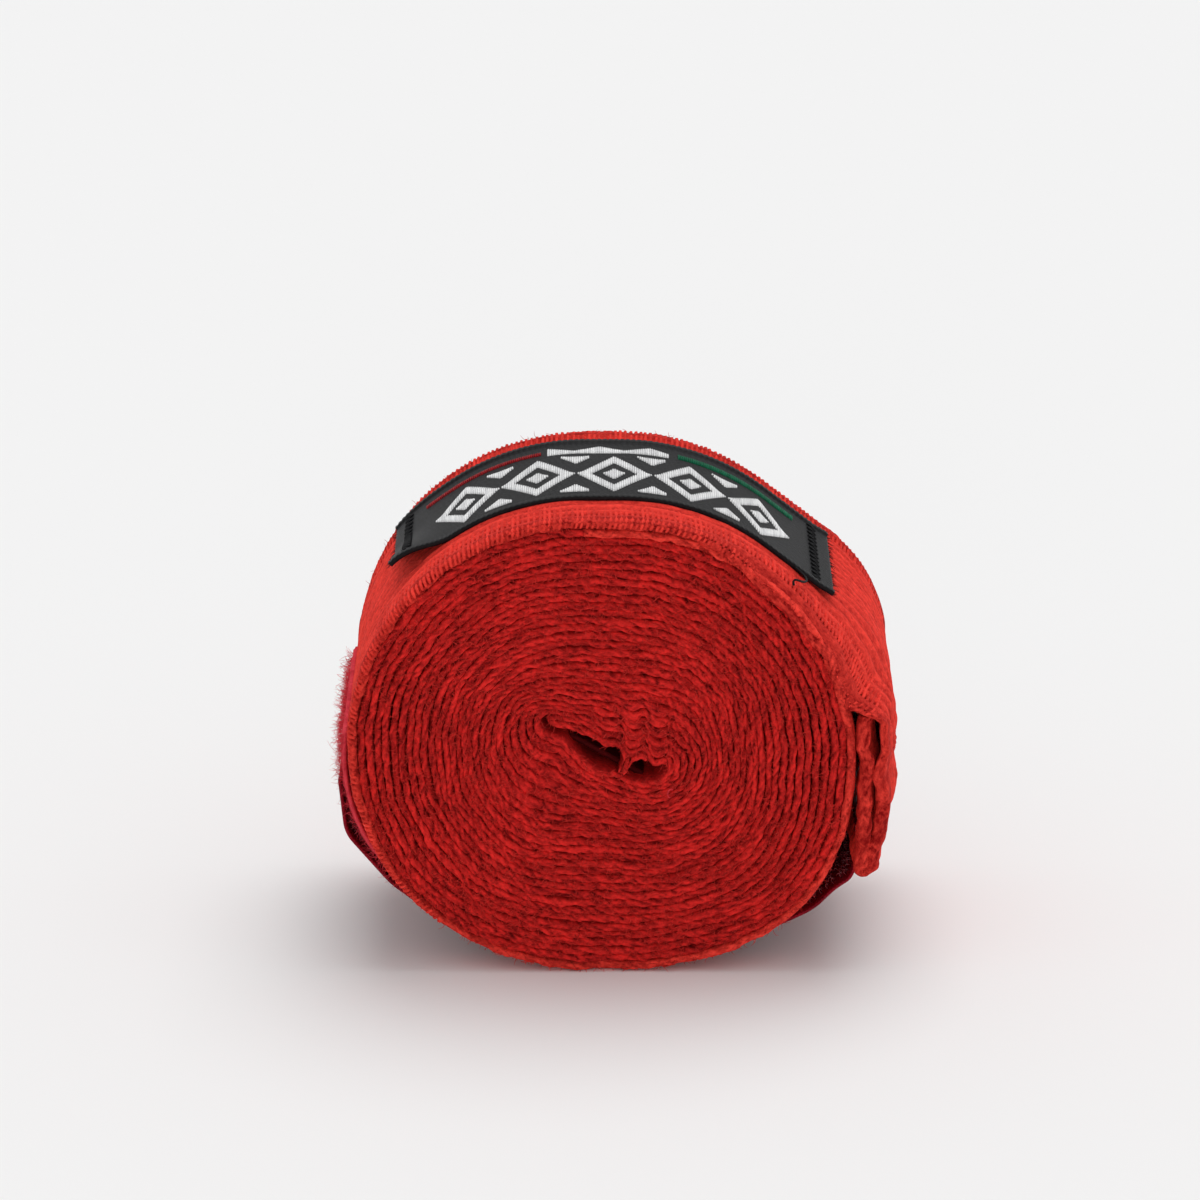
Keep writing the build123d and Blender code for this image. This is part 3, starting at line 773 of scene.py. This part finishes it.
def motif():
    """A row of large diamonds with a small one in each, and small triangles between them."""
    pieces = []
    apart, middle, half_high = 11.9, -0.8, 9.6
    for number in range(5):
        centre = 14.5 + number * apart
        pieces += diamond(centre, middle, 5.7, half_high, 0.62)
        pieces += diamond(centre, middle, 1.7, 2.9, 0)
    for number in range(4):
        centre = 20.45 + number * apart
        for side in (-1, 1):
            for ds in np.arange(-2.2, 2.21, SATIN_STEP):
                tip = middle + side * half_high
                inner = tip - side * 4.0 * (1 - abs(ds) / 2.6)
                pieces.append((centre + ds, min(tip, inner), max(tip, inner)))
    return pieces


def back_row():
    """A row of small peaks behind the diamonds."""
    return [(at, 10.6, 11.8 + 2.6 * abs(((at - 28) / 4.0) % 2 - 1)) for at in np.arange(28, 47, SATIN_STEP)]


def bar(low, high, front, back):
    """A straight bar along the label."""
    return [(at, front, back) for at in np.arange(low, high, SATIN_STEP)]


white = satin("label_motif", motif(), white_thread)
peaks = satin("label_back_motif", back_row(), white_thread)
red_line = satin("label_red_line", bar(7, 27, 11.4, 12.9), line_thread)
green_line = satin("label_green_line", bar(48.5, 69, 11.2, 13.6), green_thread)
for made in (white, peaks, red_line, green_line):
    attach(made, "roll")

# zigzag seams near both ends, and the frayed ends
paths = []
for seam in (3.2, label_route.length - 3.2):
    y = np.arange(LABEL_FRONT + 1.5, LABEL_BACK - 1.4, 1.05)
    for number, low in enumerate(y[:-1]):
        t = np.linspace(0, 1, 5)
        s = seam + (t - 0.5) * (1.6 if number % 2 else -1.6)
        across = low + t * 1.05
        h = 0.62 + label_lift(s, across) + 0.16 * np.sin(math.pi * t)
        paths.append(label_route.place(s + label_drawn(s, across), across, h))
zigzag = hairs("label_zigzag", np.array(paths), np.full((len(paths), 5), 0.17), black_thread,
               sides=5, crest=np.full(len(paths), 0.6))
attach(zigzag, "roll")
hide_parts("label_stitching")

count = 150
end = rng.random(count) < 0.5
s0 = np.where(end, 0.1, label_route.length - 0.1)
away = np.where(end, -1.0, 1.0)
y0 = rng.uniform(LABEL_FRONT, LABEL_BACK, count)
t = np.linspace(0, 1, 4)
reach = rng.uniform(0.3, 1.3, count)
fray_s = s0[:, None] + away[:, None] * reach[:, None] * t
fray_y = y0[:, None] + rng.uniform(-0.6, 0.6, count)[:, None] * t**2
fray_h = 0.35 + label_lift(s0, y0)[:, None] + rng.uniform(-0.3, 0.4, count)[:, None] * t
x, z, nx, nz = label_route.at(s0 + label_drawn(s0, y0))
tx, tz = nz, -nx
along = fray_s - s0[:, None]
paths = np.stack([ROLL_X + x[:, None] + tx[:, None] * along + nx[:, None] * fray_h, fray_y,
                  z[:, None] + tz[:, None] * along + nz[:, None] * fray_h], axis=-1)
fray = hairs("label_frayed_ends", paths, np.broadcast_to(0.07 * (1 - 0.7 * t), (count, 4)),
             black_thread, crest=rng.uniform(0.3, 0.9, count))
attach(fray, "roll")

# the loose end of the black thread, curled on the bandage in front of the label
t = np.linspace(0, 1, 22)
curl_s = tail_s - 9.0 + 1.7 * np.sin(t * 5.2) + 1.4 * t
curl_y = LABEL_FRONT - 0.4 - 8.4 * t + 0.7 * np.sin(t * 7)
curl_h = 0.75 + 0.35 * np.sin(math.pi * t)
paths = bandage.place(curl_s, curl_y, curl_h - tuck_in(curl_s, curl_y))[None]
curl = hairs("label_thread_curl", paths, np.full((1, 22), 0.2), black_thread, sides=6,
             crest=np.array([0.5]))
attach(curl, "roll")
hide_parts("label_thread_tail")


# ---------------------------------------------------------------- loop patch
patch_legs = [("turn", LEFT_RADIUS, PATCH_FROM - PATCH_TO)]
patch_route = Route(trace(left_edge(PATCH_FROM), PATCH_FROM - 90, patch_legs)[0])


def patch_lift(s):
    """The patch stands off the roll in its middle."""
    return 1.1 * np.sin(math.pi * np.clip(s / patch_route.length, 0, 1))


def patch_cloth(s, y, h, side, edge):
    """Cloth with a mat of loops on its outer face."""
    mat = (side > 0) * 0.25 * (1 + mottle(s, y, 1.0, 1.0, 51)) * ramp(edge, 0.2, 1.2)
    return 0 * s, 0.55 + patch_lift(s) + mat, 0.55 + 0.2 * mottle(s, y, 1.2, 1.2, 52)


patch_s = np.arange(0, patch_route.length, 0.45)
patch_s[-1] = patch_route.length
patch = strip("loop_patch_cloth", patch_route, patch_s,
              edge_columns(-PATCH_HALF, PATCH_HALF, (0, 0.1, 0.3, 0.6), 0.6), 0.55, pile, patch_cloth)
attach(patch, "roll")
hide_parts("loop_patch")

count = 4200
t = np.linspace(0, 1, 5)
s0 = rng.uniform(0.4, patch_route.length - 0.4, count)
y0 = rng.uniform(0.4 - PATCH_HALF, PATCH_HALF - 0.4, count)
length = rng.uniform(0.8, 2.2, count) * np.where(rng.random(count) < 0.15, 1.7, 1.0)
lean_s, lean_y = rng.normal(0, 0.9, (2, count))
bend = rng.uniform(-0.9, 0.9, (2, count))
h = 0.6 + length[:, None] * (t - 0.35 * t**2) + patch_lift(s0)[:, None]
s = s0[:, None] + lean_s[:, None] * t * 0.8 + bend[0][:, None] * t**2
y = y0[:, None] + lean_y[:, None] * t * 0.8 + bend[1][:, None] * t**2
s = np.clip(s, 0, patch_route.length)
fuzz = hairs("loop_patch_fuzz", patch_route.place(s, y, h),
             np.broadcast_to(0.055 * (1 - 0.75 * t), s.shape), pile,
             crest=rng.uniform(0.35, 0.95, count))
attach(fuzz, "roll")
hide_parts("loop_pile")
seam = seam_across("loop_patch_seam", patch_route, (1.5, patch_route.length - 1.5), -18.5, 17.0, 0.78, 0.2)
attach(seam, "roll")
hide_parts("loop_patch_stitching")


# ---------------------------------------------------------------- hem seams
hem_seam = seam_across("hem_seam", bandage, (hem_s + 3.8, fold_s - 3.8), -22.4, 22.0, 0.16, 0.12,
                       radius=0.18, sunk=tuck_in)
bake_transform(hem_seam)
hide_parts("hem_stitching")


# ---------------------------------------------------------------- hook tape
TAPE_THICK = 0.42
TAPE_ROOT, TAPE_BEND = 17.0, 3.0
TAPE_BULGE, BULGE_MIDDLE = 2.6, -43.0
tape_start = (hem_start[0] - HEM_DEPTH, HEM_FOLD_HEIGHT + TAPE_ROOT - 1.5)
bend_centre = (tape_start[0] - TAPE_BEND, tape_start[1] - TAPE_ROOT)
to_roll = (HALF_CORE - bend_centre[0], ROLL_Z - bend_centre[1])
span = math.hypot(*to_roll)
centre_angle = math.degrees(math.atan2(-to_roll[1], -to_roll[0]))
tangent = centre_angle - math.degrees(math.acos((TAPE_RADIUS - TAPE_BEND) / span))
tape_run = span * math.sin(math.radians(centre_angle - tangent))
tape_sections = (
    [("run", TAPE_ROOT)],
    [("turn", TAPE_BEND, -tangent), ("run", tape_run), ("turn", TAPE_RADIUS, 76 + tangent)],
    [("turn", TAPE_RADIUS, 14.0), ("run", 2 * HALF_CORE), ("turn", TAPE_RADIUS + PITCH / 2, 18.0)],
    [("run", 7.8), ("turn", 12.0, 20.0), ("run", 8.8), ("turn", 12.0, 12.0), ("run", 7.7)],
    [("turn", 6.0, 34.0), ("run", 6.9)],
)
tape_points = lean_in(trace(tape_start, -90.0, sum(tape_sections, []))[0], 30)
tape_x, tape_z = bulged(tape_points[:, 0], tape_points[:, 1] - ROLL_Z, TAPE_BULGE, BULGE_MIDDLE, 17.0, 22.0)
tape = Route(np.stack([tape_x, tape_z + ROLL_Z], axis=1))


def legs_length(legs):
    return sum(leg[1] if leg[0] == "run" else leg[1] * abs(math.radians(leg[2])) for leg in legs)


section_s = np.cumsum([0] + [legs_length(legs) for legs in tape_sections])


def tape_cloth(s, y, h, side, edge):
    """Smooth cloth with a slightly raised border."""
    border = 1 - ramp(edge, 0.9, 1.3)
    return 0 * s, (side > 0) * 0.08 * border, 0.5 + 0.15 * mottle(s, y, 1.5, 0.5, 61) + 0.1 * border


# each piece spans one joint and meets the next piece in the middle of a section
tape_cuts = [0.0, *((section_s[1:4] + section_s[2:5]) / 2), tape.length]
tape_names = ("root", "lower", "under", "left")
tape_joints = ("tape_lower_peel", "tape_under_peel", "tape_left_peel", "tape_tip_peel")
tape_shown = (("hook_tape_root", "hook_tape_lower"), ("hook_tape_under",), ("hook_tape_left",), ("hook_tape_tip",))
hooks_shown = (("hooks_lower",), ("hooks_under",), ("hooks_left",), ("hooks_tip",))
HOOK_STEP = 1.25
tape_pieces, hook_fields = [], []
for number, name in enumerate(tape_names):
    low, high = tape_cuts[number], tape_cuts[number + 1]
    s = np.arange(low, high, 0.4)
    s[-1] = high
    columns = edge_columns(-TAPE_HALF, TAPE_HALF, (0, 0.08, 0.2, 0.5, 0.9, 1.3), 1.2)
    made = strip(f"hook_tape_{name}_cloth", tape, s, columns, TAPE_THICK, crimson, tape_cloth)
    _, _, nx, nz = tape.at(section_s[number + 1:number + 2], 1.0)
    bend = at_pivot(tape_joints[number], (nz[0], -nx[0]), min(4.0, (high - low) / 4))
    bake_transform(made)
    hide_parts(*tape_shown[number])
    # hooks on the side that faces the roll
    first = max(low, section_s[1] + 1)
    rows = np.arange(-TAPE_HALF + 1.6, TAPE_HALF - 1.5, HOOK_STEP)
    grid = np.meshgrid(np.arange(first, high - 0.4, HOOK_STEP), rows, indexing="ij")
    grid_s, grid_y = grid[0].ravel(), grid[1].ravel()
    grid_s = np.clip(grid_s + rng.uniform(-0.25, 0.25, len(grid_s)), first, high - 0.3)
    grid_y = grid_y + rng.uniform(-0.2, 0.2, len(grid_y))
    rise = np.array([0, 0.45, 0.78, 0.95, 0.85, 0.62])
    reach = np.array([0, 0.02, 0.10, 0.30, 0.50, 0.56])
    turn = rng.choice([-1.0, 1.0], len(grid_s))
    hs = grid_s[:, None] + turn[:, None] * reach
    height = rise * rng.uniform(0.75, 1.05, len(grid_s))[:, None]
    paths = tape.place(np.clip(hs, first, high), grid_y[:, None], -TAPE_THICK - height)
    field = hairs(f"hook_tape_{name}_hooks", paths, np.full(hs.shape, 0.075), hook_plastic, sides=4,
                  crest=np.full(len(grid_s), 0.5))
    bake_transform(field)
    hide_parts(*hooks_shown[number])
    tape_pieces.append(made)
    hook_fields.append(field)
tape_seam = seam_across("hook_tape_seam", tape, (2.0, 12.0), -16.8, 15.5, -TAPE_THICK - 0.12, -0.1)
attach(tape_seam, "loose_end")
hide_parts("hook_tape_stitching")


# ---------------------------------------------------------------- thumb loop in the slit
slit = Route(crease(np.array([(-6.0, ROLL_Z - 0.75), (7.4, ROLL_Z - 0.75)])))
loop_s = np.linspace(0.2, slit.length - 0.2, 40)
fold = strip("thumb_loop_tape", slit, loop_s, edge_columns(-21, 21, (0, 0.1, 0.3, 0.5), 3.0), 0.9,
             dark_tape)
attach(fold, "roll")
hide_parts("thumb_loop")
paths = []
for row in range(4):
    for low in np.arange(1.0, slit.length - 2.4, 1.6):
        t = np.linspace(0, 1, 5)
        h = 0.1 + 0.1 * np.sin(math.pi * t)
        paths.append(slit.place(low + 1.2 * t, -16.5 + 1.2 * row, h))
tack = hairs("thumb_loop_tack", np.array(paths), np.full((len(paths), 5), 0.15), red_thread,
             sides=5, crest=np.full(len(paths), 0.6))
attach(tack, "roll")
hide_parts("thumb_loop_stitching")


# ---------------------------------------------------------------- nap
def nap_hairs(name, count, side, s_low, s_high, out=0.5):
    """Short fibres that stand off the brushed edges of the wound layers."""
    s0 = rng.uniform(s_low, s_high, count)
    h0 = rng.uniform(-1.1, -0.1, count)
    turn = rng.uniform(0, 2 * math.pi, count)
    length = rng.uniform(0.5, 1.7, count)
    rise = rng.uniform(0.05, out, count)
    t = np.linspace(0, 1, 4)
    bend = rng.uniform(-1.4, 1.4, count)
    angle = turn[:, None] + bend[:, None] * t
    ds = length[:, None] * np.cumsum(np.cos(angle), axis=1) / 4
    dh = length[:, None] * np.cumsum(np.sin(angle), axis=1) / 4
    x, z, nx, nz = bandage.at(s0)
    h = h0[:, None] + dh - dh[:, :1]
    along = ds - ds[:, :1]
    depth = HALF_WIDTH + 0.28 * wander(s0, 7.0, 13)[:, None]
    depth = depth + rise[:, None] * np.sin(math.pi * 0.8 * t)
    paths = np.stack([ROLL_X + x[:, None] + nz[:, None] * along + nx[:, None] * h, side * depth,
                      z[:, None] - nx[:, None] * along + nz[:, None] * h], axis=-1)
    paths[..., 2] = np.maximum(paths[..., 2], 0.05)
    made = hairs(name, paths, np.broadcast_to(0.05 * (1 - 0.6 * t), (count, 4)), nap,
                 crest=rng.uniform(0.2, 0.9, count))
    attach(made, "roll")
    return made


nap_pieces = [
    nap_hairs("nap_front_inner", 7000, -1, 0, cuts[2]),
    nap_hairs("nap_front_outer", 9000, -1, cuts[2], tail_s - 30),
    nap_hairs("nap_back", 9000, 1, 0, tail_s - 30),
]

# one pale fibre that has caught on the front face
t = np.linspace(0, 1, 14)
turn = t * 4.0 + 3.2
paths = np.stack([ROLL_X + 10.6 + 0.5 * np.sin(turn) * (1 - 0.3 * t),
                  -HALF_WIDTH - 0.45 - 0.3 * np.sin(math.pi * t), 29.6 + 0.75 * np.cos(turn)],
                 axis=-1)[None]
fibre = hairs("stray_fibre", paths, np.full((1, 14), 0.055), pile, crest=np.array([0.9]))
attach(fibre, "roll")

# ---------------------------------------------------------------- length of each tape piece
for number, made in enumerate(tape_pieces):
    length = tape_cuts[number + 1] - tape_cuts[number]

# ---------------------------------------------------------------- stage
FLOOR_TONE = 0.86
SKY = 0.62
floor_material = bpy.data.materials.new("pale_floor")
floor_material.use_nodes = True
shader = floor_material.node_tree.nodes["Principled BSDF"]
shader.inputs["Base Color"].default_value = (FLOOR_TONE, FLOOR_TONE, FLOOR_TONE, 1)
shader.inputs["Roughness"].default_value = 0.9
bpy.ops.mesh.primitive_plane_add(size=12, location=(0, 0, 0))
floor = bpy.context.object
floor.name = "floor"
floor.data.materials.append(floor_material)

world = bpy.data.worlds.new("studio")
bpy.context.scene.world = world
world.use_nodes = True
world.node_tree.nodes["Background"].inputs["Color"].default_value = (1.0, 1.0, 1.0, 1)
world.node_tree.nodes["Background"].inputs["Strength"].default_value = SKY


def sun(name, energy, degrees, direction):
    """A soft light from far off; degrees is how wide it looks."""
    made = bpy.data.objects.new(name, bpy.data.lights.new(name, "SUN"))
    bpy.context.scene.collection.objects.link(made)
    made.data.energy = energy
    made.data.angle = math.radians(degrees)
    made.rotation_euler = Vector(direction).to_track_quat("-Z", "Y").to_euler()


sun("overhead", 1.35, 50, (-0.12, -0.30, -1))
sun("front_fill", 0.62, 30, (0.05, 1, -0.04))

CAMERA_AWAY = 0.95
camera = bpy.data.objects.new("camera", bpy.data.cameras.new("camera"))
bpy.context.scene.collection.objects.link(camera)
bpy.context.scene.camera = camera
camera.data.lens = 185
camera.data.sensor_width = 36
aim = Vector(((ROLL_X - 0.3) * MM, -HALF_WIDTH * MM, 0.0363))
sight = math.radians(19)
camera.location = aim + CAMERA_AWAY * Vector((0, -math.cos(sight), math.sin(sight)))
down = math.radians(17.595)
look = Vector((0, math.cos(down), -math.sin(down)))
camera.rotation_euler = look.to_track_quat("-Z", "Y").to_euler()

bpy.context.scene.view_settings.view_transform = "Standard"
